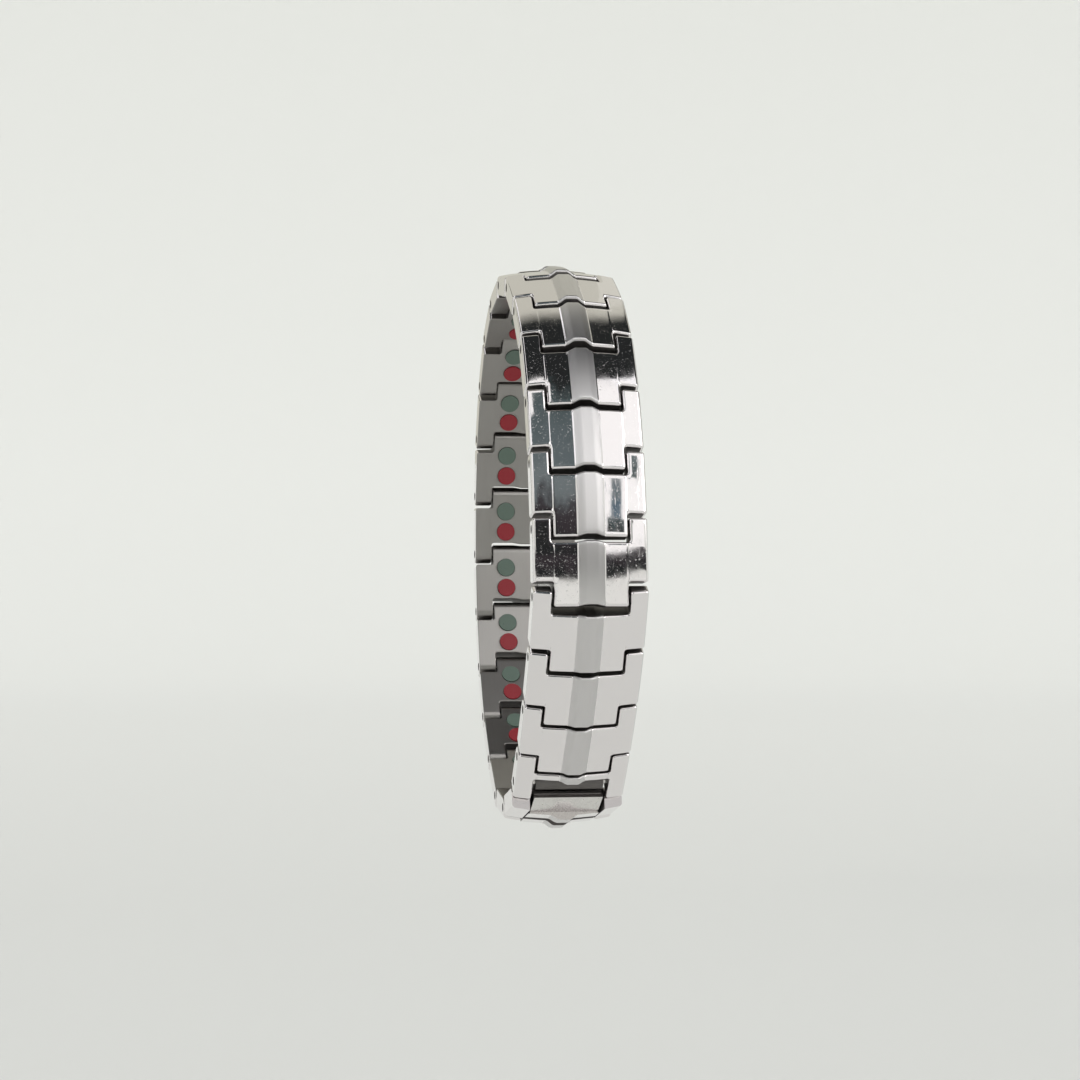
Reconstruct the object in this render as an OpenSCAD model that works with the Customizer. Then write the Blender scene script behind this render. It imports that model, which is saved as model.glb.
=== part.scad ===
// Steel link bracelet with round inserts in its inner face, closed, as it hangs round a wrist.
// Millimetres. +X runs along the wrist, -Y is the front and +Z is up.
// The origin is where the highest link sits on the wrist, in the middle of the band.
//
// Each link has its own frame: its first pin lies on the X axis, the pins follow each other along -Y
// (a place s along the band is at y = -s), and +Z points away from the wrist.

/* [Loop] */
// Number of pitches in the closed loop, the two clasp pieces included
pitch_count = 24; // [22:1:26]
// Distance from one link pin to the next
pitch = 8; // [7.8:0.1:9]
// How far a tongue reaches past the wings of its own link
tongue_reach = 2.9; // [2.7:0.1:3.1]
// Gap at the end of a tongue and at the end of a wing, in a straight band
end_gap = 0.35; // [0.2:0.05:0.4]
// Gap at each side of a tongue
side_gap = 0.2; // [0.1:0.05:0.25]

/* [Band] */
// Width of the band
band_w = 13.8; // [12.5:0.1:16]
// Width of a tongue, and of the crown over it
tongue_w = 9; // [8.4:0.1:9.4]
// Thickness of a link at its outer edge
edge_h = 2.5; // [2.4:0.1:3]
// Rise of a wing from its outer edge to the tongue
wing_rise = 0.42; // [0.2:0.02:0.7]
// Rise of the crown from the edge of the tongue to the middle
facet_rise = 0.42; // [0.1:0.02:0.6]
// Height of the satin ridge over the crown
ridge_rise = 0.55; // [0.2:0.05:0.7]
// Width of the satin ridge at its foot
ridge_w = 3.4; // [2.6:0.1:4]
// Width of the flat on top of the ridge
ridge_flat_w = 1.2; // [0.5:0.1:2]
// How far the end of a tongue is cut back under the ridge, and the face before it stands out to match
dent = 0.2; // [0:0.05:0.2]
// Bevel along the outer edges
edge_bevel = 0.25; // [0.1:0.05:0.4]

/* [Link pins] */
// Diameter of a link pin
pin_d = 1; // [0.8:0.05:1.1]
// Clearance of a pin in its bore, all round
pin_clear = 0.05; // [0.03:0.01:0.08]
// How far a pin stays below the outer edge of the band at each end
pin_inset = 0.15; // [0.05:0.05:0.4]

/* [Inserts] */
// Diameter of an insert
insert_d = 2.4; // [2:0.1:2.5]
// Thickness of an insert
insert_t = 1; // [0.8:0.05:1.1]
// How far an insert stands out of the inner face
insert_proud = 0.15; // [0:0.05:0.3]
// Clearance of an insert in its pocket, at its rim and behind it
insert_clear = 0.05; // [0.03:0.01:0.08]
// Distance between the two columns of inserts
insert_columns = 5.5; // [4:0.1:5.8]
// Distance between the two rows of inserts in one link
insert_rows = 2.8; // [2.75:0.05:2.9]

/* [Clasp frame] */
// Length of the crossbar between the wings of the clasp frame
crossbar_l = 1; // [0.9:0.1:1.6]
// Distance of the catch pin before the pivot line of the clasp body
catch_back = 3.4; // [3.2:0.05:3.5]
// Diameter of the catch pin
catch_d = 1; // [0.8:0.05:1.1]

/* [Clasp body] */
// Wall of the hook round the catch pin, and thickness of its arm
hook_t = 0.6; // [0.5:0.05:0.65]
// Width of the hook
hook_w = 8.4; // [5:0.2:8.6]
// Thickness of the floor under the lid
floor_t = 0.8; // [0.6:0.05:0.85]

/* [Clasp lid] */
// Place of the lid pin along the clasp body
lid_pin_s = 4.5; // [4.3:0.05:4.6]
// Height of the lid pin over the line of the link pins
lid_pin_h = 0.75; // [0.7:0.05:0.8]
// Diameter of the lid pin
lid_pin_d = 0.8; // [0.6:0.05:0.85]
// Length of the lid pin
lid_pin_l = 11.2; // [10.4:0.1:11.6]
// Radius of the lid round its pin
knuckle_r = 0.95; // [0.85:0.05:0.95]
// Room between the lid and the bar behind it when the lid swings
lid_clear = 0.12; // [0.1:0.02:0.2]
// Place of the front edge of the lid's crown
lid_front_s = 1.2; // [1:0.1:1.6]
// Lean of the lid's front face, in degrees: its crown hangs over the root of the thumb tab
lid_lean = 28; // [0:1:30]
// Length of the thumb tab before the front edge of the crown
tab_l = 4; // [2.4:0.1:4.1]
// Width of the thumb tab
tab_w = 8.6; // [6:0.2:8.8]
// Thickness of the thumb tab
tab_t = 0.55; // [0.4:0.05:0.6]
// Height of the top of the thumb tab at the lid's crown, over the line of the link pins
tab_h = 1.35; // [0.8:0.05:1.35]
// Tilt of the thumb tab towards the wrist, in degrees
tab_tilt = 15; // [10:1:16]

/* [Hidden] */
$fn = 48;
// Any length that is past the solid it cuts
past = 1;

// The hang of the loop. Each row is a place along the band, in twenty-fourths of the way round from
// the clasp, and the heading of the band there in degrees: 0 is down, 90 is to the back, 180 is up.
HANG = [
    [0.5, 77],
    [1.5, 96],
    [2.5, 122],
    [3.5, 131],
    [5.5, 158],
    [8.5, 192],
    [10.5, 221],
    [12.5, 257],
    [13.5, 277],
    [14.5, 296],
    [15.5, 310],
    [16.5, 327],
    [17.5, 338],
    [18.5, 347],
    [19.5, 355],
    [20.5, 386],
    [21.5, 395],
    [22.5, 401],
    [23.5, 405]
];
hang_parts = 24;
closing_rounds = 8;

function travel(a) = [sin(a), -cos(a)];
function outward(a) = [-cos(a), -sin(a)];
function total(v, i = 0) = i < len(v) ? v[i] + total(v, i + 1) : [0, 0];

// Turns all headings a little, again and again, until the loop closes on itself
function closed(h, rounds) =
    rounds < 1 ? h :
    let (miss = total([for (a = h) travel(a)]))
    closed([for (a = h) a - 2 / len(h) * 180 / PI * (miss * [cos(a), sin(a)])], rounds - 1);

headings = closed(
    [for (i = [0:pitch_count - 1]) lookup((i + 0.5) * hang_parts / pitch_count, HANG)],
    closing_rounds
);
pivots = [
    for (i = 0, p = [0, 0]; i < pitch_count; p = p + pitch * travel(headings[i]), i = i + 1) p
];
middles = [for (i = [0:pitch_count - 1]) pivots[i] + pitch / 2 * travel(headings[i])];
top_link = [for (i = [0:pitch_count - 1]) if (middles[i][1] == max([for (m = middles) m[1]])) i][0];

// Heights are measured from the line of the link pins, at half the thickness of the outer edge
pin_h = edge_h / 2;
crown_h = edge_h + wing_rise + facet_rise + ridge_rise - pin_h;
seat = middles[top_link] - (pin_h + insert_proud) * outward(headings[top_link]);

// Places along a link: its ends lie end_r past the pins, and the faces they meet lie at face_s
end_r = (tongue_reach - end_gap) / 2;
face_s = (tongue_reach + end_gap) / 2;
wing_end_s = pitch - face_s;
wing_x = tongue_w / 2 + side_gap;
bore_r = pin_d / 2 + pin_clear;
pin_l = band_w - 2 * pin_inset;

insert_mid_s = (face_s + pitch - bore_r) / 2;
pocket_r = insert_d / 2 + insert_clear;
pocket_t = insert_t - insert_proud + insert_clear;

// Angles in a side view are measured from the way along the band towards the outside of it
catch_s = pitch - catch_back;
catch_bore_r = catch_d / 2 + pin_clear;
hook_r = catch_bore_r + hook_t;
// Angle at which the hook ends round the catch pin
hook_tip_a = 60;
// Place along the clasp body at which its floor begins
floor_front_s = 0.3;
lid_bore_r = lid_pin_d / 2 + pin_clear;
// Angle at which the lid leaves its round knuckle, and how far before its pin its crown ends
lid_heel_a = 40;
lid_heel = 0.45;
bar_s = lid_pin_s + crown_h - lid_pin_h + lid_clear;
// Place of the foot of the lid's front face, and how far the tab's root reaches back to it
lid_foot_s = lid_front_s + (crown_h + knuckle_r - lid_pin_h) * tan(lid_lean);
tab_root = (crown_h - tab_h) * tan(lid_lean) + tab_t;

// Number of the first regular link and of the last one along the band
first_link = 1;
last_link = pitch_count - 2;
function link_name(i) = str("link_", i < 10 ? "0" : "", i);

// Puts what is drawn in a link's own frame at place i of the loop
module place(i) {
    translate([0, pivots[i][0] - seat[0], pivots[i][1] - seat[1]])
        rotate([headings[i] + 90, 0, 0])
            children();
}

// Extrudes a side view, drawn as s and height, across the band from x0 to x1
module across(x0, x1) {
    translate([x0, 0, 0])
        rotate([90, 0, 90])
            linear_extrude(x1 - x0)
                mirror([1, 0])
                    children();
}

// Extrudes a plan, drawn as x and s, through the full height of a link
module upright() {
    translate([0, 0, -pin_h])
        linear_extrude(pin_h + crown_h + past)
            mirror([0, 1])
                children();
}

// Height of the band over the pin line at x, with the ridge
function ridge_share(x) =
    x <= ridge_flat_w / 2 ? 1 :
    x >= ridge_w / 2 ? 0 :
    (1 + cos(180 * (x - ridge_flat_w / 2) / (ridge_w / 2 - ridge_flat_w / 2))) / 2;
function crown_z(x) =
    x > tongue_w / 2
        ? edge_h - pin_h + wing_rise * (band_w / 2 - x) / (band_w / 2 - tongue_w / 2)
        : edge_h - pin_h + wing_rise + facet_rise * (1 - x / (tongue_w / 2)) + ridge_rise * ridge_share(x);

// Cross section of the band from its outer edge to the middle, on one side
ridge_steps = 4;
section_x = concat(
    [band_w / 2 - edge_bevel, tongue_w / 2],
    [for (k = [0:ridge_steps]) ridge_w / 2 + (ridge_flat_w - ridge_w) / 2 * k / ridge_steps]
);
half_section = concat(
    [[band_w / 2, -pin_h], [band_w / 2, crown_z(band_w / 2) - edge_bevel]],
    [for (x = section_x) [x, crown_z(x)]]
);

module band_section() {
    polygon(concat(
        half_section,
        [for (i = [len(half_section) - 1:-1:0]) [-half_section[i][0], half_section[i][1]]]
    ));
}

// The band's solid bar with its crown, between two places along it
module band_bar(s0, s1) {
    translate([0, -s0, 0])
        rotate([90, 0, 0])
            linear_extrude(s1 - s0)
                band_section();
}

// Points on a quarter of an ellipse round a pin, from under the pin to the end at side d (1 or -1)
round_steps = 6;
function round_end(s, d) = [
    for (k = [0:round_steps])
        let (a = 90 * k / round_steps)
        [s + d * end_r * sin(a), -pin_h * cos(a)]
];

// Takes the inner corner off the end at side d of the pin at s, so that the band can bend
module round_cut(s, d) {
    across(-band_w / 2 - past, band_w / 2 + past)
        polygon(concat(
            [[s, -pin_h - past]],
            round_end(s, d),
            [[s + d * (end_r + past), 0], [s + d * (end_r + past), -pin_h - past]]
        ));
}

module bore(s, h, r) {
    translate([-band_w / 2 - past, -s, h])
        rotate([0, 90, 0])
            cylinder(r = r, h = band_w + 2 * past);
}

// A pin across the band in a link's own frame
module cross_pin(s, h, d, l) {
    translate([-l / 2, -s, h])
        rotate([0, 90, 0])
            cylinder(d = d, h = l);
}

// Plan of the two wings, from s0 to s1
module wing_plan(s0, s1) {
    for (side = [-1, 1])
        translate([side > 0 ? wing_x : -band_w / 2, s0])
            square([band_w / 2 - wing_x, s1 - s0]);
}

// Plan of the dent under the ridge in the end of a tongue, or of what fills it in the face at s,
// from side d (1 or -1) to the other side
function dent_points(s, d) = [
    [d * ridge_w / 2, s],
    [d * ridge_flat_w / 2, s - dent],
    [-d * ridge_flat_w / 2, s - dent],
    [-d * ridge_w / 2, s]
];

// Plan of a regular link: wings, the full width between the faces, and the tongue
module link_plan() {
    polygon(concat(
        [
            [wing_x, -end_r],
            [band_w / 2, -end_r],
            [band_w / 2, wing_end_s],
            [tongue_w / 2, wing_end_s],
            [tongue_w / 2, pitch + end_r]
        ],
        dent_points(pitch + end_r, 1),
        [
            [-tongue_w / 2, pitch + end_r],
            [-tongue_w / 2, wing_end_s],
            [-band_w / 2, wing_end_s],
            [-band_w / 2, -end_r],
            [-wing_x, -end_r],
            [-wing_x, face_s]
        ],
        dent_points(face_s, -1),
        [[wing_x, face_s]]
    ));
}

// Column is -1 or 1 across the band, row is -1 or 1 along it
module at_insert(column, row) {
    translate([column * insert_columns / 2, -insert_mid_s - row * insert_rows / 2, -pin_h])
        children();
}

module regular_link() {
    difference() {
        intersection() {
            band_bar(-end_r - past, pitch + end_r + past);
            upright() link_plan();
        }
        round_cut(0, -1);
        round_cut(pitch, 1);
        bore(0, 0, bore_r);
        bore(pitch, 0, bore_r);
        for (column = [-1, 1])
            for (row = [-1, 1])
                at_insert(column, row)
                    translate([0, 0, -past])
                        cylinder(r = pocket_r, h = pocket_t + past);
    }
}

module link(i) {
    color("silver")
        place(i)
            regular_link();
}

module link_pins() {
    color("gainsboro")
        for (i = [1:pitch_count - 1])
            place(i)
                cross_pin(0, 0, pin_d, pin_l);
}

// One kind of insert in every regular link
module inserts(column, row) {
    for (i = [first_link:last_link])
        place(i)
            at_insert(column, row)
                translate([0, 0, -insert_proud])
                    cylinder(d = insert_d, h = insert_t);
}

module magnets() {
    color("lightgray") inserts(1, -1);
}

module germanium_discs() {
    color("dimgray") inserts(1, 1);
}

module infrared_discs() {
    color("firebrick") inserts(-1, -1);
}

module ion_discs() {
    color("darkseagreen") inserts(-1, 1);
}

// The end link before the clasp: two wings joined by a crossbar, open behind it
module clasp_frame() {
    color("silver")
        place(pitch_count - 1)
            difference() {
                intersection() {
                    band_bar(-end_r - past, pitch);
                    upright() {
                        wing_plan(-end_r, wing_end_s);
                        polygon(concat(
                            [
                                [band_w / 2, face_s],
                                [band_w / 2, face_s + crossbar_l],
                                [-band_w / 2, face_s + crossbar_l],
                                [-band_w / 2, face_s]
                            ],
                            dent_points(face_s, -1)
                        ));
                    }
                }
                round_cut(0, -1);
                bore(0, 0, bore_r);
                bore(catch_s, 0, catch_bore_r);
            }
}

module catch_pin() {
    color("gainsboro")
        place(pitch_count - 1)
            cross_pin(catch_s, 0, catch_d, pin_l);
}

// Points on an arc of a side view, in equal steps of about arc_step_a
arc_step_a = 15;
function arc(s, h, r, a0, a1) =
    let (steps = ceil(abs(a1 - a0) / arc_step_a))
    [
        for (k = [0:steps])
            let (a = a0 + (a1 - a0) * k / steps)
            [s + r * cos(a), h + r * sin(a)]
    ];

// Side view of the hook: its arm runs under the catch pin, and its end curls up round the pin
module hook_view() {
    polygon(concat(
        arc(catch_s, 0, hook_r, 270, hook_tip_a),
        arc(catch_s, 0, catch_bore_r, hook_tip_a, 270),
        [[pitch, -catch_bore_r], [pitch, -hook_r]]
    ));
}

// The first link behind the seam: two walls on a floor, a bar with the tongue, and the hook
module clasp_body() {
    color("silver")
        union() {
            place(0)
                difference() {
                    intersection() {
                        band_bar(-end_r - past, pitch + end_r + past);
                        union() {
                            upright() wing_plan(-end_r, wing_end_s);
                            across(-band_w / 2, band_w / 2)
                                translate([floor_front_s, -pin_h])
                                    square([wing_end_s - floor_front_s, floor_t]);
                            across(-tongue_w / 2, tongue_w / 2) {
                                translate([floor_front_s, -pin_h])
                                    square([pitch - floor_front_s, floor_t]);
                                translate([bar_s, -pin_h])
                                    square([pitch + end_r - bar_s, pin_h + crown_h + past]);
                            }
                            across(-hook_w / 2, hook_w / 2)
                                translate([-floor_front_s, -pin_h])
                                    square([bar_s, floor_t]);
                        }
                    }
                    round_cut(0, -1);
                    round_cut(pitch, 1);
                    upright()
                        polygon(concat(
                            dent_points(pitch + end_r, 1),
                            [[-ridge_w / 2, pitch + end_r + past], [ridge_w / 2, pitch + end_r + past]]
                        ));
                    bore(pitch, 0, bore_r);
                    cross_pin(lid_pin_s, lid_pin_h, 2 * lid_bore_r, lid_pin_l + 2 * pin_clear);
                }
            place(pitch_count - 1)
                across(-hook_w / 2, hook_w / 2)
                    hook_view();
        }
}

// The lid between the walls: crown, knuckle round its pin, and the sunk thumb tab in front
module clasp_lid() {
    color("silver")
        place(0)
            difference() {
                union() {
                    intersection() {
                        band_bar(0, pitch);
                        across(-tongue_w / 2, tongue_w / 2)
                            polygon(concat(
                                [[lid_front_s, crown_h + past], [lid_front_s, crown_h]],
                                [[lid_foot_s, lid_pin_h - knuckle_r]],
                                arc(lid_pin_s, lid_pin_h, knuckle_r, -90, lid_heel_a),
                                [[lid_pin_s - lid_heel, crown_h], [lid_pin_s - lid_heel, crown_h + past]]
                            ));
                    }
                    across(-tab_w / 2, tab_w / 2)
                        translate([lid_front_s, tab_h])
                            rotate(tab_tilt)
                                translate([-tab_l, -tab_t])
                                    square([tab_l + tab_root, tab_t]);
                }
                bore(lid_pin_s, lid_pin_h, lid_bore_r);
            }
}

module lid_pin() {
    color("gainsboro")
        place(0)
            cross_pin(lid_pin_s, lid_pin_h, lid_pin_d, lid_pin_l);
}

for (i = [first_link:last_link])
    link(i);
link_pins();
magnets();
germanium_discs();
infrared_discs();
ion_discs();
clasp_frame();
catch_pin();
clasp_body();
clasp_lid();
lid_pin();
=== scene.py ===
"""Looks of a polished steel link bracelet that hangs as a closed loop over a pale floor.

Lengths of the pieces are in millimetres, in the frame of one link: x runs across the band, s along
it from the link's first pin, and z away from the wrist, measured from the line of the link pins.
MM turns them into Blender's metres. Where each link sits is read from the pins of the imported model.
"""

import math

import bpy
import numpy as np
from mathutils import Matrix, Vector
from mathutils.geometry import delaunay_2d_cdt


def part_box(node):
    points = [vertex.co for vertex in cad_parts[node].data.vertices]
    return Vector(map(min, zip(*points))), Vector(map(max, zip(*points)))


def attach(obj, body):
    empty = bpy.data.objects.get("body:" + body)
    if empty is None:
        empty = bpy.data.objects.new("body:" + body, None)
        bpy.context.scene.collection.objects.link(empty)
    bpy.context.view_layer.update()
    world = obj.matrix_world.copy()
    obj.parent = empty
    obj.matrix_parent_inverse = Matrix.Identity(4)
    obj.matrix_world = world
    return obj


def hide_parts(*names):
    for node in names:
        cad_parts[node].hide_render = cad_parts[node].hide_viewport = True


MM = 0.001

# The band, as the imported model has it. A link's wings reach from its near end to WING_END_S and are
# WING_X from the middle beside the next tongue. The face before that tongue's end stands at FACE_S.
# The ends round off towards the wrist by END_R.
PITCH = 8.0
BAND_W = 13.8
TONGUE_W = 9.0
WING_X = 4.7
END_R = 1.275
FACE_S = 1.625
WING_END_S = 6.375
PIN_H = 1.25
EDGE_Z = 1.25
WING_RISE = 0.42
FACET_RISE = 0.42
RIDGE_RISE = 0.55
RIDGE_W = 3.4
RIDGE_FLAT_W = 1.2
DENT = 0.2
BORE_R = 0.55
INSERT_MID_S = 4.5375
INSERT_COLUMNS = 5.5
INSERT_ROWS = 2.8
POCKET_R = 1.25
POCKET_T = 0.9
CATCH_S = 4.6
CROSSBAR_END_S = 2.625

# The clasp's lid: its tab lies before LID_FRONT_S, and it turns at LID_PIN_S
LID_FRONT_S = 1.2
LID_PIN_S = 4.5

# What polishing does to the sharp shapes
RIM_R = 0.3
INNER_RIM_R = 0.12
CORNER_R = 0.34
FILLET_R = 0.34
BOW_R = 75.0
BOW_TOP = 0.06
PILLOW_W = 0.6
PILLOW_DROP = 0.05
FACET_EDGE_W = 0.28
FACET_EDGE_DROP = 0.035
FACET_BOW = 0.022
WING_BOW = 0.02
# How much of the ridge's slope its brushing still shows
SATIN_SLOPE = 0.35
# A bright polished step at the foot of the ridge
STEP_W = 0.14
STEP_RISE = 0.1
# Softened edges of the solids
CLASP_EDGE = 0.12
PIN_EDGE = 0.06
INSERT_EDGE = 0.12
EDGE_STEPS = 3
EDGE_ANGLE = 35

# Fineness of the meshes
RIM_STEPS = 4
CORNER_STEPS = 5
RIDGE_STEPS = 6
FACET_STEPS = 9
WING_XS = (4.95, 5.15, 5.4, 5.7, 6.0, 6.2, 6.4)
END_ANGLES = (15, 30, 45, 58, 70, 80)
# How many degrees of a quarter round the ends of the inner face take
END_ANGLE_MAX = 88
STEP_S = 0.33
HOLE_STEPS = 28
# Share of a hole's radius within which the middle of a triangle lies in the hole
IN_HOLE = 0.99
# How far points inside a face stay off its edge, its holes and the ends of its creases
EDGE_GAP = 0.07
HOLE_GAP = 0.1
CREASE_GAP = 0.3
# How far points on an edge stay off its rounded corners
STATION_GAP = 0.05
# Share of the shorter of two edges that the round between them may take
CORNER_SHARE = 0.45
# Points that fall in the same cell of this grid are one
WELDS_PER_MM = 2000
# Where and over which length the slope for a corner's normal is taken
NORMAL_SHIFT = 0.05
NORMAL_STEP = 0.004
# Part of a normal along an axis beyond which its face counts as facing that way
FACING = 0.5
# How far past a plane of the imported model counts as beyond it
PAST = 0.01

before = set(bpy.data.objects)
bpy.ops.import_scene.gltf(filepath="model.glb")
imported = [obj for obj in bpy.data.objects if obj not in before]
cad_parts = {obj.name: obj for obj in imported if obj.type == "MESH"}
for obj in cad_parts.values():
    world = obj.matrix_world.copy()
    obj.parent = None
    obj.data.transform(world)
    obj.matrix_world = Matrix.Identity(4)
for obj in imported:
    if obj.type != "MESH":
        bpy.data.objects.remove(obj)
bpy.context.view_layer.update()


# Places


def pin_centres():
    """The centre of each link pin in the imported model, as (y, z) in metres."""
    left = np.array([v.co[1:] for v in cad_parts["link_pins"].data.vertices])
    centres = []
    while len(left):
        near = np.linalg.norm(left - left[0], axis=1) < PITCH / 4 * MM
        one = left[near]
        centres.append((one.min(0) + one.max(0)) / 2)
        left = left[~near]
    return centres


def box_middle(node):
    low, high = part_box(node)
    return np.array(((low + high) / 2)[1:])


def link_matrix(first, along):
    """Matrix of a link whose first pin is at first and whose next pin lies in direction along."""
    ty, tz = along / np.linalg.norm(along)
    matrix = Matrix(((1, 0, 0), (0, -ty, tz), (0, -tz, -ty))).to_4x4()
    matrix.translation = (0, *first)
    return matrix


def link_places(names):
    """Matrices of the regular links, and the pins at both ends of their row. Two pins lie in each
    link's box, and a link shares one of them with the next."""
    pins = pin_centres()
    held = []
    for name in names:
        low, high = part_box(name)
        held.append(
            {k for k, (y, z) in enumerate(pins) if low.y < y < high.y and low.z < z < high.z}
        )
    places = {}
    first = (held[0] - held[1]).pop()
    for name, pair in zip(names, held):
        (second,) = pair - {first}
        places[name] = link_matrix(pins[first], pins[second] - pins[first])
        first = second
    return places, pins[(held[0] - held[1]).pop()], pins[first]


LINKS = sorted(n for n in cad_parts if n.startswith("link_") and n != "link_pins")
places, body_pin, frame_pin = link_places(LINKS)
to_catch = box_middle("catch_pin") - frame_pin
frame_place = link_matrix(frame_pin, to_catch)
body_pivot = frame_pin + to_catch / np.linalg.norm(to_catch) * PITCH * MM
body_place = link_matrix(body_pivot, body_pin - body_pivot)


# Shapes of the faces


def bowed(x, x0, x1, rise):
    """A low arch over x0 to x1."""
    share = np.clip((2 * x - x0 - x1) / (x1 - x0), -1, 1)
    return rise * (1 - share**2)


def crown(x):
    """Height of the outer face at x: rising wings, facets, and the ridge with its flat top."""
    x = np.abs(x)
    wing = EDGE_Z + WING_RISE * (BAND_W / 2 - x) / (BAND_W / 2 - TONGUE_W / 2)
    wing = wing + bowed(x, TONGUE_W / 2, BAND_W / 2, WING_BOW)
    down = np.clip((x - RIDGE_FLAT_W / 2) / ((RIDGE_W - RIDGE_FLAT_W) / 2 - STEP_W), 0, 1)
    step = STEP_RISE * np.clip((RIDGE_W / 2 - x) / STEP_W, 0, 1)
    facet = FACET_RISE * (1 - np.maximum(x, RIDGE_FLAT_W / 2) / (TONGUE_W / 2))
    ridge = step + (RIDGE_RISE - STEP_RISE) * (1 + np.cos(math.pi * down)) / 2
    middle = EDGE_Z + WING_RISE + facet + ridge
    edge = np.clip(1 - (TONGUE_W / 2 - x) / FACET_EDGE_W, 0, 1)
    middle = middle + bowed(x, RIDGE_W / 2, TONGUE_W / 2, FACET_BOW)
    middle = middle - FACET_EDGE_DROP * edge**2
    return np.where(x > TONGUE_W / 2, wing, middle)


def edge_distance(corners, x, s):
    """Distance of the places (x, s) from the edges of a plan."""
    p = np.stack(np.broadcast_arrays(x, s), -1)[..., None, :]
    a = np.array(corners, float)
    along = np.roll(a, -1, axis=0) - a
    share = np.clip(((p - a) * along).sum(-1) / (along**2).sum(-1), 0, 1)
    return np.linalg.norm(a + share[..., None] * along - p, axis=-1).min(-1)


def outer_face(corners):
    """The crown, bowed a little along the link, which falls off softly towards the plan's edges."""

    def height(x, s):
        near = np.clip(1 - edge_distance(corners, x, s) / PILLOW_W, 0, 1)
        bow = BOW_TOP - (s - PITCH / 2) ** 2 / (2 * BOW_R)
        return crown(x) + bow - PILLOW_DROP * near**3

    return height


def inner_face(first_s, last_s):
    """The flat inner face, which rounds up to the pin line at the ends first_s and last_s."""

    def height(x, s):
        past = np.maximum(first_s - s, s - last_s) / END_R
        past = np.clip(past, 0, math.sin(math.radians(END_ANGLE_MAX)))
        return -PIN_H * np.sqrt(1 - past**2)

    return height


# Mesh building


class Skin:
    """Collects faces that carry their own corner normals, and welds points that fall together."""

    def __init__(self):
        self.points, self.known = [], {}
        self.faces, self.normals, self.finishes = [], [], []

    def point(self, p):
        key = tuple(round(c * WELDS_PER_MM) for c in p)
        if key not in self.known:
            self.known[key] = len(self.points)
            self.points.append(p)
        return self.known[key]

    def face(self, points, normals, finish):
        """points and normals are in (x, s, z)."""
        points = [np.asarray(p, float) for p in points]
        turn = np.cross(points[1] - points[0], points[2] - points[0])
        if len(points) == 4:
            turn = turn + np.cross(points[2] - points[0], points[3] - points[0])
        # x, s, z is left-handed, since s runs along -y, so a right-handed face is flipped
        if turn @ np.sum(normals, axis=0) > 0:
            points, normals = points[::-1], normals[::-1]
        corners = [self.point(p) for p in points]
        if len(set(corners)) == len(corners):
            self.faces.append(corners)
            self.normals.extend(normals)
            self.finishes.append(finish)
        elif len(set(corners)) == 3:
            keep = [k for k in range(len(corners)) if corners[k] != corners[k - 1]]
            self.faces.append([corners[k] for k in keep])
            self.normals.extend(normals[k] for k in keep)
            self.finishes.append(finish)

    def mesh(self, name, materials):
        flip = np.array([1, -1, 1])
        mesh = bpy.data.meshes.new(name)
        mesh.from_pydata(np.array(self.points) * flip * MM, [], self.faces)
        for material in materials:
            mesh.materials.append(material)
        mesh.polygons.foreach_set("material_index", self.finishes)
        mesh.shade_smooth()
        mesh.normals_split_custom_set([Vector(n * flip) for n in self.normals])
        # The brushing follows the map: u runs across the band
        across = mesh.uv_layers.new(name="across")
        for loop, corner in zip(mesh.loops, across.data):
            x, y, _ = mesh.vertices[loop.vertex_index].co
            corner.uv = (x / BAND_W / MM + 0.5, y / BAND_W / MM)
        mesh.update()
        return mesh


def unit(v):
    return v / np.linalg.norm(v)


def surface_normals(height, points, toward, up):
    """Normals, up (1) or down (-1), of the surface z = height(x, s) at points. Each is taken a
    little way towards its face's middle, so that the two sides of a crease have their own."""
    q = points + (toward - points) * NORMAL_SHIFT
    x, s = q[..., 0], q[..., 1]
    h = NORMAL_STEP
    dx = (height(x + h, s) - height(x - h, s)) / (2 * h)
    ds = (height(x, s + h) - height(x, s - h)) / (2 * h)
    n = np.stack([-dx * up, -ds * up, np.full_like(x, up)], -1)
    return n / np.linalg.norm(n, axis=-1, keepdims=True)


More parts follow.
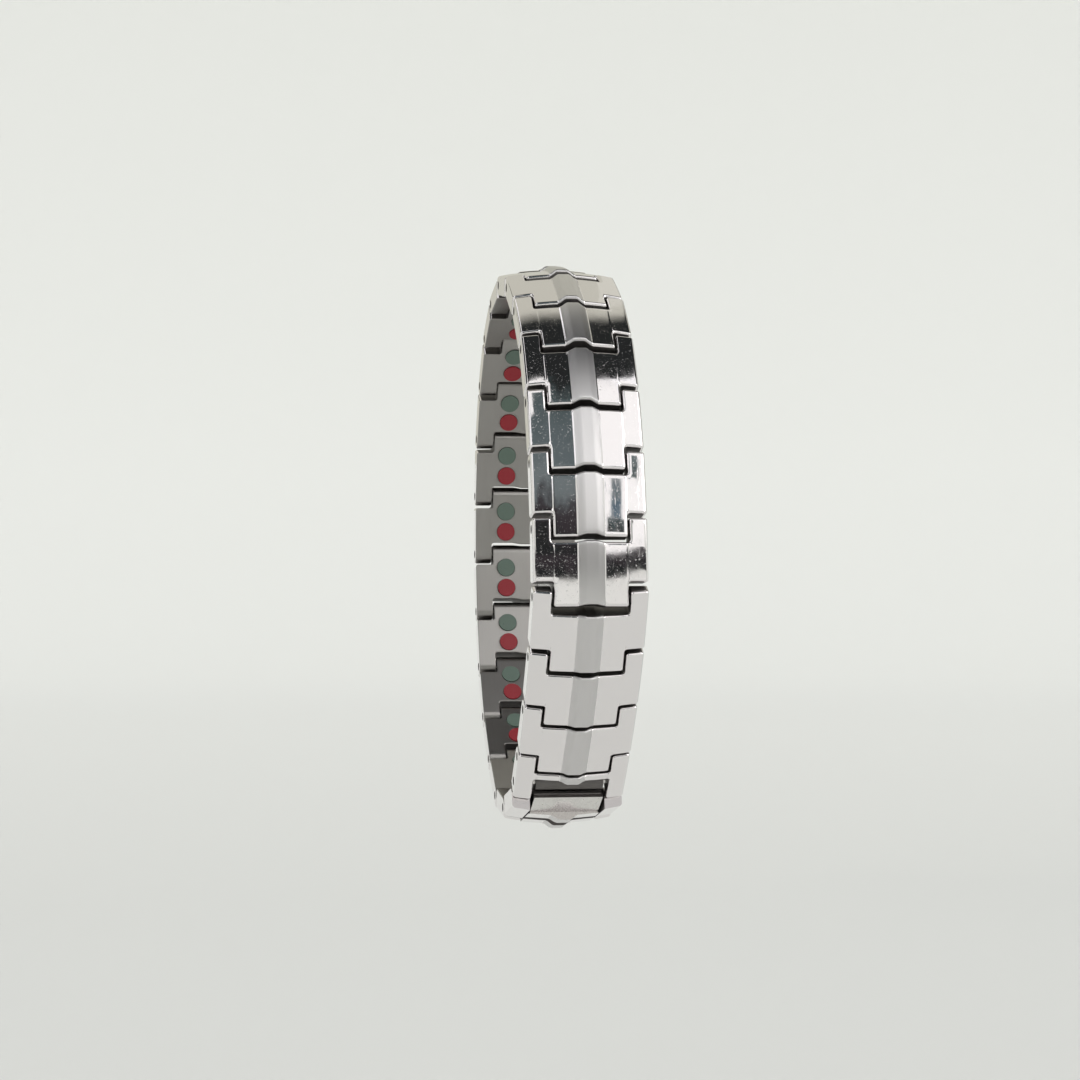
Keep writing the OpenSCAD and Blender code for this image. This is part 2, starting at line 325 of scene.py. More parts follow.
def outline(corners, xs, ss, convex_r=CORNER_R, hollow_r=FILLET_R):
    """Points, outward normals and edge numbers round a plan whose corners are rounded. An edge has
    a point at each station of xs or ss that it passes, depending on the way it runs. Corners have
    the number -1."""
    corners = np.array(corners, float)
    points, normals, numbers = [], [], []

    def add(p, n, number):
        points.append(p)
        normals.append(n)
        numbers.append(number)

    def arc(i):
        a, b, c = corners[i - 1], corners[i], corners[(i + 1) % len(corners)]
        along, after = unit(b - a), unit(c - b)
        turn = math.atan2(along[0] * after[1] - along[1] * after[0], float(along @ after))
        side = 1 if turn > 0 else -1
        room = min(np.linalg.norm(b - a), np.linalg.norm(c - b)) * CORNER_SHARE
        r = min(convex_r if turn > 0 else hollow_r, room / math.tan(abs(turn) / 2))
        out = np.array([along[1], -along[0]])
        centre = b - along * r * math.tan(abs(turn) / 2) - out * r * side
        steps = max(1, round(CORNER_STEPS * abs(turn) / (math.pi / 2)))
        for k in range(steps + 1):
            angle = turn * k / steps
            n = math.cos(angle) * out + math.sin(angle) * along
            yield centre + n * r * side, n

    arcs = [list(arc(i)) for i in range(len(corners))]
    for i, found in enumerate(arcs):
        for p, n in found:
            add(p, n, -1)
        numbers[-1] = i
        start, n = found[-1]
        end = arcs[(i + 1) % len(arcs)][0][0]
        axis = 0 if abs(end[0] - start[0]) > abs(end[1] - start[1]) else 1
        low, high = sorted((start[axis], end[axis]))
        between = [c for c in (xs, ss)[axis] if low + STATION_GAP < c < high - STATION_GAP]
        for c in between if end[axis] > start[axis] else between[::-1]:
            add(start + (end - start) * (c - start[axis]) / (end - start)[axis], n, i)
    return np.array(points), np.array(normals), numbers


def inside(loop, p, margin):
    """Whether p lies inside the closed loop, at least margin from it."""
    a, b = loop, np.roll(loop, -1, axis=0)
    along = b - a
    share = np.clip(((p - a) * along).sum(1) / np.maximum((along**2).sum(1), 1e-12), 0, 1)
    if np.linalg.norm(a + along * share[:, None] - p, axis=1).min() < margin:
        return False
    crosses = (a[:, 1] > p[1]) != (b[:, 1] > p[1])
    rise = np.where(along[:, 1] == 0, 1, along[:, 1])
    left_of = p[0] < a[:, 0] + (p[1] - a[:, 1]) / rise * along[:, 0]
    return np.count_nonzero(crosses & left_of) % 2 == 1


def filled(loop, holes, extra, creases=()):
    """Triangles of the region inside loop and outside the round holes (centre, radius), through the
    extra points and along the creases."""
    points = [Vector(p) for p in loop]
    edges = [(k, (k + 1) % len(loop)) for k in range(len(loop))]
    for centre, r in holes:
        first = len(points)
        points += [Vector(p) for p in circle(centre, r)]
        edges += [(first + k, first + (k + 1) % HOLE_STEPS) for k in range(HOLE_STEPS)]
    for line in creases:
        first = len(points)
        points += [Vector(p) for p in line]
        edges += [(first + k, first + k + 1) for k in range(len(line) - 1)]
    for p in extra:
        p = np.array(p)
        clear = all(np.linalg.norm(p - c) > r + HOLE_GAP for c, r in holes)
        if clear and inside(loop, p, EDGE_GAP):
            points.append(Vector(p))
    found = delaunay_2d_cdt(points, edges, [], 1, 1e-6)
    spots = [np.array(p) for p in found[0]]
    for triangle in found[2]:
        three = [spots[k] for k in triangle]
        middle = sum(three) / 3
        if all(np.linalg.norm(middle - c) > r * IN_HOLE for c, r in holes):
            yield three


def circle(centre, r):
    turns = [2 * math.pi * k / HOLE_STEPS for k in range(HOLE_STEPS)]
    return [np.array([centre[0] + r * math.cos(a), centre[1] + r * math.sin(a)]) for a in turns]


def cover(skin, edge, height, up, rim_r, holes, creases, finish):
    """One broad face of a slab and the rounded rim round it. Returns the loop where the rim meets
    the wall."""
    points, normals, _ = edge
    after = np.roll(points, -1, axis=0), np.roll(normals, -1, axis=0)

    def ring(k):
        angle = math.pi / 2 * k / RIM_STEPS
        inward, short = rim_r * (1 - math.cos(angle)), rim_r * (1 - math.sin(angle))
        return angle, inward, short

    def spots(flat, short):
        return np.concatenate([flat, (height(*flat.T) - up * short)[:, None]], axis=1)

    for k in range(RIM_STEPS):
        two = [ring(k), ring(k + 1)]
        flats, heights, leans = [], [], []
        for (angle, inward, short), turned in zip(
            (two[0], two[0], two[1], two[1]), (0, 1, 1, 0)
        ):
            at, out = after if turned else (points, normals)
            flats.append(at - out * inward)
            heights.append(spots(flats[-1], short))
            leans.append((angle, out))
        middles = (flats[0] + flats[2]) / 2
        tilted = []
        for flat, (angle, out) in zip(flats, leans):
            broad = surface_normals(height, flat, middles, up)
            side = np.concatenate([out, np.zeros((len(out), 1))], axis=1)
            n = math.cos(angle) * side + math.sin(angle) * broad
            tilted.append(n / np.linalg.norm(n, axis=1, keepdims=True))
        for i, middle in enumerate(middles):
            skin.face([h[i] for h in heights], [t[i] for t in tilted], finish(middle))
    inner = points - normals * rim_r
    triangles = np.array([three for three in filled(inner, holes, GRID, creases)])
    middles = triangles.mean(axis=1)
    tilted = surface_normals(height, triangles, middles[:, None], up)
    brushed = np.array([finish(middle) == SATIN for middle in middles])
    tilted[brushed, :, 0] *= SATIN_SLOPE
    tilted /= np.linalg.norm(tilted, axis=-1, keepdims=True)
    heights = height(triangles[..., 0], triangles[..., 1])
    for three, z, n, middle in zip(triangles, heights, tilted, middles):
        skin.face(np.column_stack([three, z]), list(n), finish(middle))
    return spots(points, rim_r)


def walls(skin, edge, top, bottom, bores):
    """The upright walls between two loops, with the bores (s, z, radius) through those that face
    sideways."""
    points, normals, numbers = edge
    n = len(points)

    # Walls in the gaps and in the bores take the cut finish with its painted shade; only the outer
    # flanks stay polished
    def finish(i):
        return POLISHED if abs(points[i][0]) > BAND_W / 2 - CORNER_R else CUT_SHADED

    straight = {}
    for i in range(n):
        j = (i + 1) % n
        if numbers[i] >= 0:
            straight.setdefault(numbers[i], []).append((i, j))
            continue
        skin.face(
            [bottom[i], bottom[j], top[j], top[i]],
            [np.array([*normals[k], 0.0]) for k in (i, j, j, i)],
            finish(i),
        )
    for pairs in straight.values():
        run = [pairs[0][0]] + [j for _, j in pairs]
        out = np.array([*normals[run[0]], 0.0])
        span = sorted((points[run[0]][1], points[run[-1]][1]))
        here = [
            (np.array([s, z]), r) for s, z, r in bores if span[0] < s - r and s + r < span[1]
        ]
        if abs(out[0]) > FACING and here:
            x = points[run[0]][0]
            loop = [bottom[k][1:] for k in run] + [top[k][1:] for k in run[::-1]]
            for three in filled(np.array(loop), here, ()):
                skin.face([np.array([x, *p]) for p in three], [out] * 3, finish(run[1]))
            continue
        for i, j in pairs:
            skin.face([bottom[i], bottom[j], top[j], top[i]], [out] * 4, finish(j))


def tube(skin, ring_a, ring_b, centre_a, centre_b, finish):
    """The wall of a hole between two circles of points, facing its axis."""
    for k in range(HOLE_STEPS):
        j = (k + 1) % HOLE_STEPS
        four = [ring_a[k], ring_a[j], ring_b[j], ring_b[k]]
        middle = (centre_a, centre_a, centre_b, centre_b)
        skin.face(four, [unit(c - p) for p, c in zip(four, middle)], finish)


def bore(skin, x0, x1, s, r, finish):
    rings = [[np.array([x, *p]) for p in circle((s, 0.0), r)] for x in (x0, x1)]
    tube(skin, *rings, np.array([x0, s, 0.0]), np.array([x1, s, 0.0]), finish)


def pocket(skin, x, s, finish):
    """A round pocket in the inner face, with its bottom."""
    low, high = -PIN_H, -PIN_H + POCKET_T
    rings = [[np.array([*p, z]) for p in circle((x, s), POCKET_R)] for z in (low, high)]
    tube(skin, *rings, np.array([x, s, low]), np.array([x, s, high]), finish)
    down = np.array([0.0, 0.0, -1.0])
    for k in range(HOLE_STEPS):
        three = [np.array([x, s, high]), rings[1][k], rings[1][(k + 1) % HOLE_STEPS]]
        skin.face(three, [down] * 3, finish)


# The band's pieces

# The cut and the inner finishes are darkened with painted shade
POLISHED, SATIN, INNER_SHADED, CUT_SHADED, GROUND = range(5)


def outer_finish(middle):
    return SATIN if abs(middle[0]) < RIDGE_W / 2 - STEP_W else POLISHED


def stations():
    """Places across and along a link at which its faces get points."""
    ridge = np.linspace(RIDGE_FLAT_W / 2, RIDGE_W / 2 - STEP_W, RIDGE_STEPS + 1)
    facet = np.linspace(RIDGE_W / 2, TONGUE_W / 2, FACET_STEPS + 1)
    half = [*ridge, *facet, *WING_XS]
    xs = sorted([-x for x in half] + [0.0] + half)
    ends = [END_R * math.sin(math.radians(a)) for a in END_ANGLES]
    count = math.ceil(PITCH / STEP_S)
    between = [PITCH * k / count for k in range(count + 1)]
    ss = sorted([-e for e in ends] + [PITCH + e for e in ends] + between)
    return xs, ss


XS, SS = stations()
GRID = [(x, s) for x in XS for s in SS]


def slab(skin, corners, outer, inner, bores, pockets, creases):
    """A piece of the band with the plan corners, between its outer and its inner face."""
    edge = outline(corners, XS, SS)
    top = cover(skin, edge, outer, 1, RIM_R, (), creases, outer_finish)
    bottom = cover(skin, edge, inner, -1, INNER_RIM_R, pockets, (), lambda middle: INNER_SHADED)
    walls(skin, edge, top, bottom, bores)


def mirrored(half):
    """A plan's corners from those on its right half, which run from its near end to its far end."""
    return list(half) + [(-x, s) for x, s in reversed(half)]


def dent(s):
    """The right half of the dent under the ridge in the end of a tongue, or of what fills it."""
    return [(RIDGE_W / 2, s), (RIDGE_FLAT_W / 2, s - DENT)]


def crease(s0, s1):
    """Where a wing meets a facet, on both sides, between s0 and s1."""
    steps = [s for s in SS if s0 + CREASE_GAP < s < s1 - CREASE_GAP]
    return [[(x, s) for s in steps] for x in (-TONGUE_W / 2, TONGUE_W / 2)]


# The right half of the plan of a link's near end, and of the clasp frame's
NEAR_END = [
    *dent(FACE_S)[::-1],
    (WING_X, FACE_S),
    (WING_X, -END_R),
    (BAND_W / 2, -END_R),
    (BAND_W / 2, WING_END_S),
]


def link_skin():
    """A link with its tongue, its three bores and its four pockets."""
    skin = Skin()
    corners = mirrored(
        [
            *NEAR_END,
            (TONGUE_W / 2, WING_END_S),
            (TONGUE_W / 2, PITCH + END_R),
            *dent(PITCH + END_R),
        ]
    )
    pockets = [
        (np.array([c * INSERT_COLUMNS / 2, INSERT_MID_S + r * INSERT_ROWS / 2]), POCKET_R)
        for c in (-1, 1)
        for r in (-1, 1)
    ]
    bores = [(s, 0.0, BORE_R) for s in (0.0, PITCH)]
    faces = outer_face(corners), inner_face(0, PITCH)
    slab(skin, corners, *faces, bores, pockets, crease(FACE_S, WING_END_S))
    for side in (-1, 1):
        bore(skin, side * WING_X, side * BAND_W / 2, 0.0, BORE_R, CUT_SHADED)
    bore(skin, -TONGUE_W / 2, TONGUE_W / 2, PITCH, BORE_R, CUT_SHADED)
    for centre, _ in pockets:
        pocket(skin, *centre, INNER_SHADED)
    return skin


def frame_skin():
    """The clasp frame with its window, and the bores of its link pin and of the catch pin."""
    skin = Skin()
    corners = mirrored([*NEAR_END, (WING_X, WING_END_S), (WING_X, CROSSBAR_END_S)])
    bores = [(s, 0.0, BORE_R) for s in (0.0, CATCH_S)]
    faces = outer_face(corners), inner_face(0, PITCH)
    slab(skin, corners, *faces, bores, (), crease(FACE_S, CROSSBAR_END_S))
    for side in (-1, 1):
        for s, _, r in bores:
            bore(skin, side * WING_X, side * BAND_W / 2, s, r, CUT_SHADED)
    return skin


# Materials


def material(name, color, metallic, roughness):
    """A principled material. Returns it with its shader and node tree."""
    made = bpy.data.materials.new(name)
    made.use_nodes = True
    tree = made.node_tree
    shader = next(n for n in tree.nodes if n.type == "BSDF_PRINCIPLED")
    shader.inputs["Base Color"].default_value = (*color, 1)
    shader.inputs["Metallic"].default_value = metallic
    shader.inputs["Roughness"].default_value = roughness
    return made, shader, tree


def noise(tree, scale, detail, stretch=(1, 1, 1), harsh=0.5):
    """Noise in the object's own coordinates, with scale features to the metre. Each object has its
    own."""
    place = tree.nodes.new("ShaderNodeTexCoord")
    own = tree.nodes.new("ShaderNodeObjectInfo")
    mapping = tree.nodes.new("ShaderNodeMapping")
    mapping.inputs["Scale"].default_value = stretch
    made = tree.nodes.new("ShaderNodeTexNoise")
    made.inputs["Scale"].default_value = scale
    made.inputs["Detail"].default_value = detail
    made.inputs["Roughness"].default_value = harsh
    tree.links.new(own.outputs["Random"], mapping.inputs["Location"])
    tree.links.new(place.outputs["Object"], mapping.inputs["Vector"])
    tree.links.new(mapping.outputs["Vector"], made.inputs["Vector"])
    return made.outputs["Fac"]


def ramp(tree, source, low, high, at=(0.3, 0.7)):
    made = tree.nodes.new("ShaderNodeMapRange")
    made.inputs["From Min"].default_value = at[0]
    made.inputs["From Max"].default_value = at[1]
    made.inputs["To Min"].default_value = low
    made.inputs["To Max"].default_value = high
    tree.links.new(source, made.inputs["Value"])
    return made.outputs["Result"]


def bump(tree, shader, *reliefs):
    """Reliefs on top of each other, each a height and its depth in metres."""
    under = None
    for height, depth in reliefs:
        made = tree.nodes.new("ShaderNodeBump")
        made.inputs["Distance"].default_value = depth
        tree.links.new(height, made.inputs["Height"])
        if under:
            tree.links.new(under.outputs["Normal"], made.inputs["Normal"])
        under = made
    tree.links.new(under.outputs["Normal"], shader.inputs["Normal"])


POLISHED_COLOR = (0.875, 0.843, 0.848)
SATIN_COLOR = (0.785, 0.765, 0.765)
# The inner colour is darker than bare brushed steel: painted shade on the inside of the loop and in
# the pockets
INNER_SHADE_COLOR = (0.40, 0.385, 0.37)
# The dark colour of the cut faces is painted shade: it darkens the walls in the gaps and the clasp's
# floor and hook
CUT_SHADE_COLOR = (0.16, 0.15, 0.145)
GROUND_COLOR = (0.72, 0.70, 0.68)

# Depths of the reliefs in metres
WAVE_DEPTH = 2e-5
PIT_DEPTH = 6e-6
SCRATCH_DEPTH = 2.2e-6
SATIN_DEPTH = 2e-6
INNER_DEPTH = 4e-6
CUT_DEPTH = 8e-6
GRAIN_DEPTH = 6e-6
# Only the peaks of the noise within these bounds show as pits and as scratches
PIT_PEAKS = (0.63, 0.74)
SCRATCH_PEAKS = (0.64, 0.74)


def polished_steel():
    """Bright steel, a little wavy, with the fine pits and scratches of wear."""
    made, shader, tree = material("polished_steel", POLISHED_COLOR, 1, 0.06)
    rough = ramp(tree, noise(tree, scale=900, detail=6), low=0.03, high=0.09)
    tree.links.new(rough, shader.inputs["Roughness"])
    waves = noise(tree, scale=170, detail=2)
    pits = ramp(tree, noise(tree, scale=4600, detail=5, harsh=0.65), 0, 1, PIT_PEAKS)
    streaks = noise(tree, scale=2600, detail=5, stretch=(1, 0.09, 1), harsh=0.7)
    scratches = ramp(tree, streaks, 0, 1, SCRATCH_PEAKS)
    bump(tree, shader, (waves, WAVE_DEPTH), (pits, PIT_DEPTH), (scratches, SCRATCH_DEPTH))
    return made


def satin_steel(name, color, low, high, depth):
    """Steel brushed along the band, so that it spreads light across it."""
    made, shader, tree = material(name, color, 1, (low + high) / 2)
    shader.inputs["Anisotropic"].default_value = 1.0
    tangent = tree.nodes.new("ShaderNodeTangent")
    tangent.direction_type = "UV_MAP"
    tangent.uv_map = "across"
    tree.links.new(tangent.outputs["Tangent"], shader.inputs["Tangent"])
    streaks = noise(tree, scale=9000, detail=4, stretch=(1, 0.04, 1))
    tree.links.new(ramp(tree, streaks, low, high), shader.inputs["Roughness"])
    bump(tree, shader, (streaks, depth))
    return made


def cut_steel_painted_shade():
    """The dull faces in the gaps, as the cutter left them, darkened with painted shade of the gaps
    and recesses.
    """
    made, shader, tree = material("cut_steel_painted_shade", CUT_SHADE_COLOR, 1, 0.5)
    bump(tree, shader, (noise(tree, scale=7000, detail=3), CUT_DEPTH))
    return made


def ground_steel():
    """The steel of the pins and of the lid's tab."""
    made, shader, tree = material("ground_steel", GROUND_COLOR, 1, 0.22)
    rough = ramp(tree, noise(tree, scale=3000, detail=4), low=0.16, high=0.30)
    tree.links.new(rough, shader.inputs["Roughness"])
    return made


def fired(name, color, roughness, metallic):
    """A round insert: pressed and ground, with a fine grain."""
    made, shader, tree = material(name, color, metallic, roughness)
    grain = noise(tree, scale=5200, detail=5)
    rough = ramp(tree, grain, low=roughness * 0.75, high=roughness * 1.3)
    tree.links.new(rough, shader.inputs["Roughness"])
    bump(tree, shader, (grain, GRAIN_DEPTH))
    return made


polished = polished_steel()
satin = satin_steel("satin_steel", SATIN_COLOR, 0.38, 0.46, SATIN_DEPTH)
# The inner face: brushed steel, made darker with painted shade
inner = satin_steel("brushed_inner_steel_painted_shade", INNER_SHADE_COLOR, 0.32, 0.46, INNER_DEPTH)
# Cut steel, dull, and darkened with painted shade
cut_shaded_steel = cut_steel_painted_shade()
ground = ground_steel()
# In the order of the finish numbers: polished, satin, inner steel with painted shade, cut steel with
# painted shade, and ground
FINISHES = [polished, satin, inner, cut_shaded_steel, ground]


# The pieces


def piece(name, mesh, place, body, node):
    made = bpy.data.objects.new(name, mesh)
    bpy.context.scene.collection.objects.link(made)
    made.matrix_world = place
    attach(made, body)
    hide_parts(node)
    return made


link_mesh = link_skin().mesh("polished_link", FINISHES)
for name in LINKS:
    piece("polished_" + name, link_mesh, places[name], "bracelet", name)
piece(
    "polished_clasp_frame",
    frame_skin().mesh("polished_clasp_frame", FINISHES),
    frame_place,
    "bracelet",
    "clasp_frame",
)


def soften(thing, width):
    """Rounds the sharp edges by width."""
    edge = thing.modifiers.new("soft_edges", "BEVEL")
    edge.width = width * MM
    edge.segments = EDGE_STEPS
    edge.limit_method = "ANGLE"
    edge.angle_limit = math.radians(EDGE_ANGLE)
    edge.harden_normals = True
    thing.data.shade_smooth()


def dressed(node, body, finish):
    """A piece with the shape of a solid of the clasp, whose faces have their own finishes."""
    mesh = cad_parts[node].data.copy()
    mesh.materials.clear()
    for made in FINISHES:
        mesh.materials.append(made)
    local = body_place.inverted()
    spots = [local @ v.co / MM for v in mesh.vertices]
    for polygon in mesh.polygons:
        x, y, _ = sum((spots[k] for k in polygon.vertices), Vector()) / len(polygon.vertices)
        turned = local.to_3x3() @ polygon.normal
        polygon.material_index = finish(abs(x), -y, turned)
    across = mesh.uv_layers.get("across") or mesh.uv_layers.new(name="across")
    for loop, corner in zip(mesh.loops, across.data):
        x, y, _ = spots[loop.vertex_index]
        corner.uv = (x / BAND_W + 0.5, y / BAND_W)
    soften(piece("finished_" + node, mesh, Matrix(), body, node), CLASP_EDGE)


def body_finish(x, s, n):
    """The bright walls and bar of the clasp's body, the bar's satin ridge, the brushed inner face
    with painted shade, and the dull floor and hook, darkened with painted shade."""
    if n.z > FACING and x < RIDGE_W / 2 and s > LID_PIN_S:
        return SATIN
    if n.z < -FACING:
        return INNER_SHADED
    if x > WING_X + PAST or (s > LID_PIN_S and n.z > FACING):
        return POLISHED
    return CUT_SHADED


def lid_finish(x, s, n):
    """The lid's ridge is satin, its other outer faces and the face over the tab are polished, its
    tab is ground, and the rest is as the cutter left it, darkened with painted shade."""
    if n.z > FACING and x < RIDGE_W / 2 and s > LID_FRONT_S:
        return SATIN
    if n.y > FACING or (s > LID_FRONT_S and n.z > FACING):
        return POLISHED
    return GROUND if s < LID_FRONT_S else CUT_SHADED


def finish_node(node, made, width):
    """Gives a solid its material, and softens its edges."""
    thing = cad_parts[node]
    thing.data.materials.clear()
    thing.data.materials.append(made)
    soften(thing, width)


dressed("clasp_body", "bracelet", body_finish)
dressed("clasp_lid", "lid", lid_finish)
for node in ("link_pins", "catch_pin", "lid_pin"):
    finish_node(node, ground, PIN_EDGE)
for node, name, color, roughness, metallic in (
    ("magnets", "magnet_plating", (0.62, 0.62, 0.60), 0.25, 1.0),
    ("germanium_discs", "germanium", (0.10, 0.10, 0.11), 0.3, 0.6),
    ("infrared_discs", "red_ceramic", (0.30, 0.02, 0.03), 0.35, 0.0),
    ("ion_discs", "green_ceramic", (0.12, 0.17, 0.14), 0.35, 0.0),
):
    finish_node(node, fired(name, color, roughness, metallic), INSERT_EDGE)


# Studio, in metres and degrees

FLOOR_Z = -0.125
COVE_R = 1.6
WALL_R = 0.9
WALL_TOP = 1.3
WALL_STEPS = 13
COVE_TURNS = 72
FLOOR_PAPER_SHADED = (0.66, 0.665, 0.635)
WALL_PAPER = (0.83, 0.835, 0.80)
# The floor's painted shade turns into the wall's tone from FADE_FROM to FADE_PAST beyond the round
# floor's edge
FADE_FROM = 0.4
FADE_PAST = 0.5
SKY = (0.985, 0.99, 1)
SKY_STRENGTH = 1.12


def stage(made):
    bpy.context.scene.collection.objects.link(made)
    return made


def pale_paper_floor_shade():
    """Matt paper of one colour, with painted shade that makes the floor round the bracelet darker
    than up the wall.
    """
    paper, shader, tree = material("pale_paper_floor_shade", WALL_PAPER, 0, 0.9)
    place = tree.nodes.new("ShaderNodeTexCoord")
    far = tree.nodes.new("ShaderNodeVectorMath")
    far.operation = "LENGTH"
    tones = tree.nodes.new("ShaderNodeValToRGB")
    tones.color_ramp.elements[0].color = (*FLOOR_PAPER_SHADED, 1)
    tones.color_ramp.elements[1].color = (*WALL_PAPER, 1)
    tree.links.new(place.outputs["Object"], far.inputs[0])
    share = ramp(tree, far.outputs["Value"], 0, 1, (FADE_FROM, COVE_R + FADE_PAST))
    tree.links.new(share, tones.inputs["Fac"])
    tree.links.new(tones.outputs["Color"], shader.inputs["Base Color"])
    return paper


def cove():
    """A round floor whose edge curves up into a low wall, all of one pale paper, with painted shade
    on the floor.
    """
    profile = [(0.0, 0.0), (COVE_R, 0.0)]
    profile += [
        (COVE_R + WALL_R * math.sin(a), WALL_R * (1 - math.cos(a)))
        for a in np.linspace(0, math.pi / 2, WALL_STEPS + 1)[1:]
    ]
    profile.append((COVE_R + WALL_R, WALL_TOP))
    turns = [2 * math.pi * k / COVE_TURNS for k in range(COVE_TURNS)]
    points = [
        (r * math.cos(a), r * math.sin(a), FLOOR_Z + z) for r, z in profile for a in turns
    ]
    faces = []
    for low in range(0, len(points) - COVE_TURNS, COVE_TURNS):
        high = low + COVE_TURNS
        for k in range(COVE_TURNS):
            after = (k + 1) % COVE_TURNS
            faces.append((low + k, low + after, high + after, high + k))
    mesh = bpy.data.meshes.new("cove")
    mesh.from_pydata(points, [], faces)
    mesh.shade_smooth()
    mesh.materials.append(pale_paper_floor_shade())
    stage(bpy.data.objects.new("cove", mesh))


def direction(rise, tilt):
    """Unit vector. rise is 0 at the front, 90 overhead and 180 at the back, and tilt leans it
    towards +x."""
    r, t = math.radians(rise), math.radians(tilt)
    return Vector((math.sin(t), -math.cos(r) * math.cos(t), math.sin(r) * math.cos(t)))


AIM = Vector((0, 0, -0.031))
PANEL_R = 1.3
CARD_R = 1.25
POST_R = 0.45
PANEL_STEPS = 20
LIFT_AT = 30


def panel(name, rise, tilt, finish, lift=(0, 0), radius=PANEL_R):
    """A curved sheet round the bracelet for the steel to reflect. The camera and the floor don't
    see it. lift is how much higher its first and its last edge lie from LIFT_AT degrees of lean."""
    shares = np.linspace(0, 1, PANEL_STEPS + 1)
    points = []
    for u in shares:
        for v in shares:
            lean = tilt[0] + (tilt[1] - tilt[0]) * v
            aside = min(abs(lean) / LIFT_AT, 1) ** 4
            up = (rise[0] + lift[0] * aside) * (1 - u) + (rise[1] + lift[1] * aside) * u
            points.append(AIM + direction(up, lean) * radius)
    n = PANEL_STEPS + 1
    firsts = [i * n + j for i in range(PANEL_STEPS) for j in range(PANEL_STEPS)]
    faces = [(k, k + 1, k + n + 1, k + n) for k in firsts]
    mesh = bpy.data.meshes.new(name)
    mesh.from_pydata(points, [], faces)
    mesh.shade_smooth()
    sheet = mesh.uv_layers.new(name="sheet")
    for loop, corner in zip(mesh.loops, sheet.data):
        corner.uv = (shares[loop.vertex_index // n], shares[loop.vertex_index % n])
    mesh.materials.append(finish)
    made = stage(bpy.data.objects.new(name, mesh))
    made.visible_camera = False
    made.visible_diffuse = False
    made.visible_shadow = False
    return made


def glowing(name, color, strength):
    """A material that shines evenly."""
    made, _, tree = material(name, color, 0, 1)
    glow = tree.nodes.new("ShaderNodeEmission")
    glow.inputs["Color"].default_value = (*color, 1)
    glow.inputs["Strength"].default_value = strength
    out = next(n for n in tree.nodes if n.type == "OUTPUT_MATERIAL")
    tree.links.new(glow.outputs["Emission"], out.inputs["Surface"])
    return made


def shaded(name, tones, scale=0.0, mottle=0.0):
    """A sheet that shines as its tones say, each a share of its length and a colour.
    Soft blots, scale of them to the metre, move the tones by the share mottle."""
    made = glowing(name, (1, 1, 1), 1)
    tree = made.node_tree
    glow = next(n for n in tree.nodes if n.type == "EMISSION")
    place = tree.nodes.new("ShaderNodeUVMap")
    place.uv_map = "sheet"
    split = tree.nodes.new("ShaderNodeSeparateXYZ")
    moved = tree.nodes.new("ShaderNodeMath")
    moved.operation = "MULTIPLY_ADD"
    moved.inputs[1].default_value = mottle
    tones_made = tree.nodes.new("ShaderNodeValToRGB")
    tones_made.color_ramp.interpolation = "EASE"
    spots = tones_made.color_ramp.elements
    while len(spots) < len(tones):
        spots.new(1)
    for spot, (at, color) in zip(spots, tones):
        spot.position = at
        spot.color = (*color, 1)
    tree.links.new(place.outputs["UV"], split.inputs["Vector"])
    blots = noise(tree, scale, 9, harsh=0.68)
    tree.links.new(ramp(tree, blots, -1, 1), moved.inputs[0])
    tree.links.new(split.outputs["X"], moved.inputs[2])
    tree.links.new(moved.outputs["Value"], tones_made.inputs["Fac"])
    tree.links.new(tones_made.outputs["Color"], glow.inputs["Color"])
    return made


world = bpy.data.worlds.new("studio")
world.use_nodes = True
sky = world.node_tree.nodes["Background"]
sky.inputs["Color"].default_value = (*SKY, 1)
sky.inputs["Strength"].default_value = SKY_STRENGTH
bpy.context.scene.world = world

cove()

# Tones of what the steel reflects
BLACK = (0.02, 0.022, 0.022)
PLUM = (0.042, 0.036, 0.04)
SLATE = (0.076, 0.10, 0.102)
STORM = (0.115, 0.142, 0.149)
GREY = (0.166, 0.195, 0.20)
PALE = (0.59, 0.585, 0.51)
PALER = (0.68, 0.675, 0.60)
BLUE = (0.10, 0.15, 0.19)
CREAM = (0.8, 0.79, 0.77)
WHITE = (1, 0.995, 0.98)

# How much higher the sheets overhead and at the back lie at their sides
ROOF_LIFT = (8, 27)
BACK_LIFT = (27, 0)


def even_panel(name, rise, tilt, color, strength=1, lift=(0, 0)):
    """A panel that shines evenly."""
    panel(name, rise, tilt, glowing(name + "_tone", color, strength), lift)


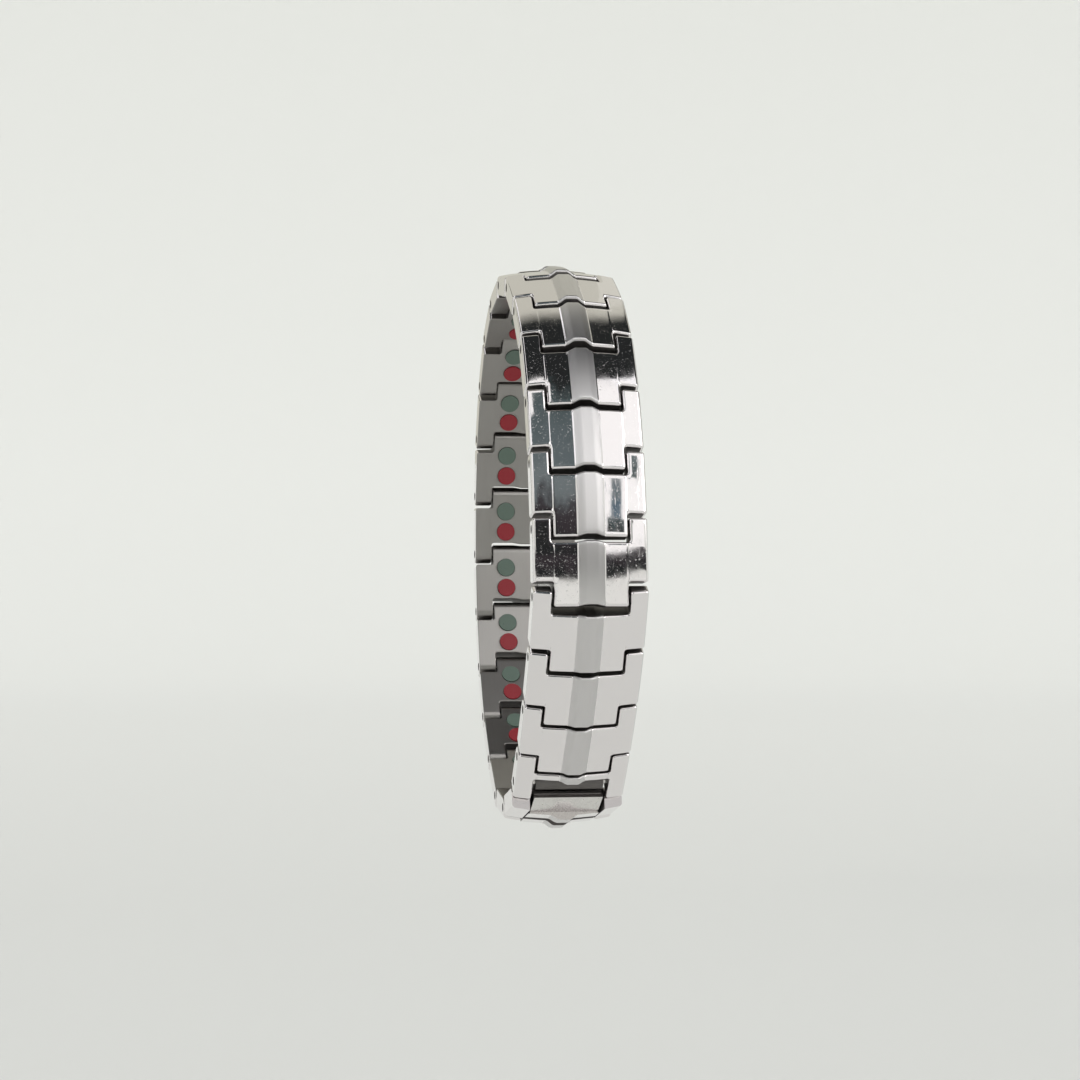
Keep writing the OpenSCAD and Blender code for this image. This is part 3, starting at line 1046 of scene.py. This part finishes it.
low_band = shaded("low_band_tone", [(0.0, BLACK), (1.0, PLUM)], scale=9.0, mottle=0.5)
panel("low_band", (6.0, 11.0), (-50, 50), low_band, lift=(2.6, 2.6))
front_left = shaded(
    "front_left_tone",
    [(0.0, BLACK), (0.22, PLUM), (0.34, GREY), (0.52, STORM), (0.86, SLATE), (1.0, BLACK)],
    scale=5.0,
    mottle=0.12,
)
panel("front_left", (11.0, 67), (-20, 5.5), front_left)
even_panel("window", (30, 67), (5.5, 34), WHITE, 1.07)
even_panel("window_side", (20, 67), (34, 64), WHITE, 3.4)
even_panel("under_window", (11, 30), (5.5, 12), CREAM, 0.7)
even_panel("window_foot", (11, 30), (12, 34), WHITE, 1.07)
overhead = shaded("overhead_tone", [(0.0, BLACK), (0.83, BLACK), (0.96, PALE)])
panel("overhead", (66.5, 108), (-20, 62), overhead, lift=ROOF_LIFT)
even_panel("overhead_left", (66.5, 108), (-62, -32), BLACK, lift=ROOF_LIFT)
even_panel("back", (108, 178), (-40, 14), PALE, lift=BACK_LIFT)
even_panel("back_side", (108, 178), (14, 40), PALER, lift=BACK_LIFT)
# Dark posts on the floor, which give the steel something to reflect from the sides and from behind
SIDE_POSTS = ((-54, -46), (46, 54))
BACK_POSTS = ((-26, -20), (18, 36))
for row, rise, tilts in ((0, (-14, 25), SIDE_POSTS), (1, (155, 194), SIDE_POSTS + BACK_POSTS)):
    for tilt in tilts:
        post = shaded("post_tone", [(0.0, BLACK), (1.0, SLATE)])
        panel(f"post_{row}_{tilt[0]}", rise, tilt, post, radius=POST_R)
# Small things in front of the sheets, which show as patches on single links
CARD_BLOTS = 22.0
for name, rise, tilt, tones, mottle in (
    ("strip", (22.3, 31.5), (18.4, 21.6), (BLUE, GREY), 0.7),
    ("blot", (18.3, 22.2), (17, 24.5), (BLACK, SLATE), 0.7),
    ("spot", (32, 38), (26, 29.4), (SLATE, GREY), 0.7),
    ("gleam", (55.5, 66.5), (-18, -5.5), (WHITE, WHITE), 0),
    ("low_gleam", (49.5, 55.5), (-18, -11.2), (WHITE, WHITE), 0),
):
    tone = shaded(name + "_tone", [(0.0, tones[0]), (1.0, tones[1])], CARD_BLOTS, mottle)
    panel(name, rise, tilt, tone, radius=CARD_R)


# Camera

CAMERA_YAW = 8.2
CAMERA_AT = (-0.0531, -0.35461, -0.03094)
FOCAL_MM = 93.33
SENSOR_MM = 36
CLIP_START = 0.01


def camera():
    made = bpy.data.objects.new("camera", bpy.data.cameras.new("camera"))
    made.data.lens = FOCAL_MM
    made.data.sensor_width = SENSOR_MM
    made.data.clip_start = CLIP_START
    made.location = CAMERA_AT
    made.rotation_euler = (math.pi / 2, 0, -math.radians(CAMERA_YAW))
    bpy.context.scene.collection.objects.link(made)
    bpy.context.scene.camera = made


camera()
bpy.context.scene.view_settings.view_transform = "Standard"

bpy.context.view_layer.update()
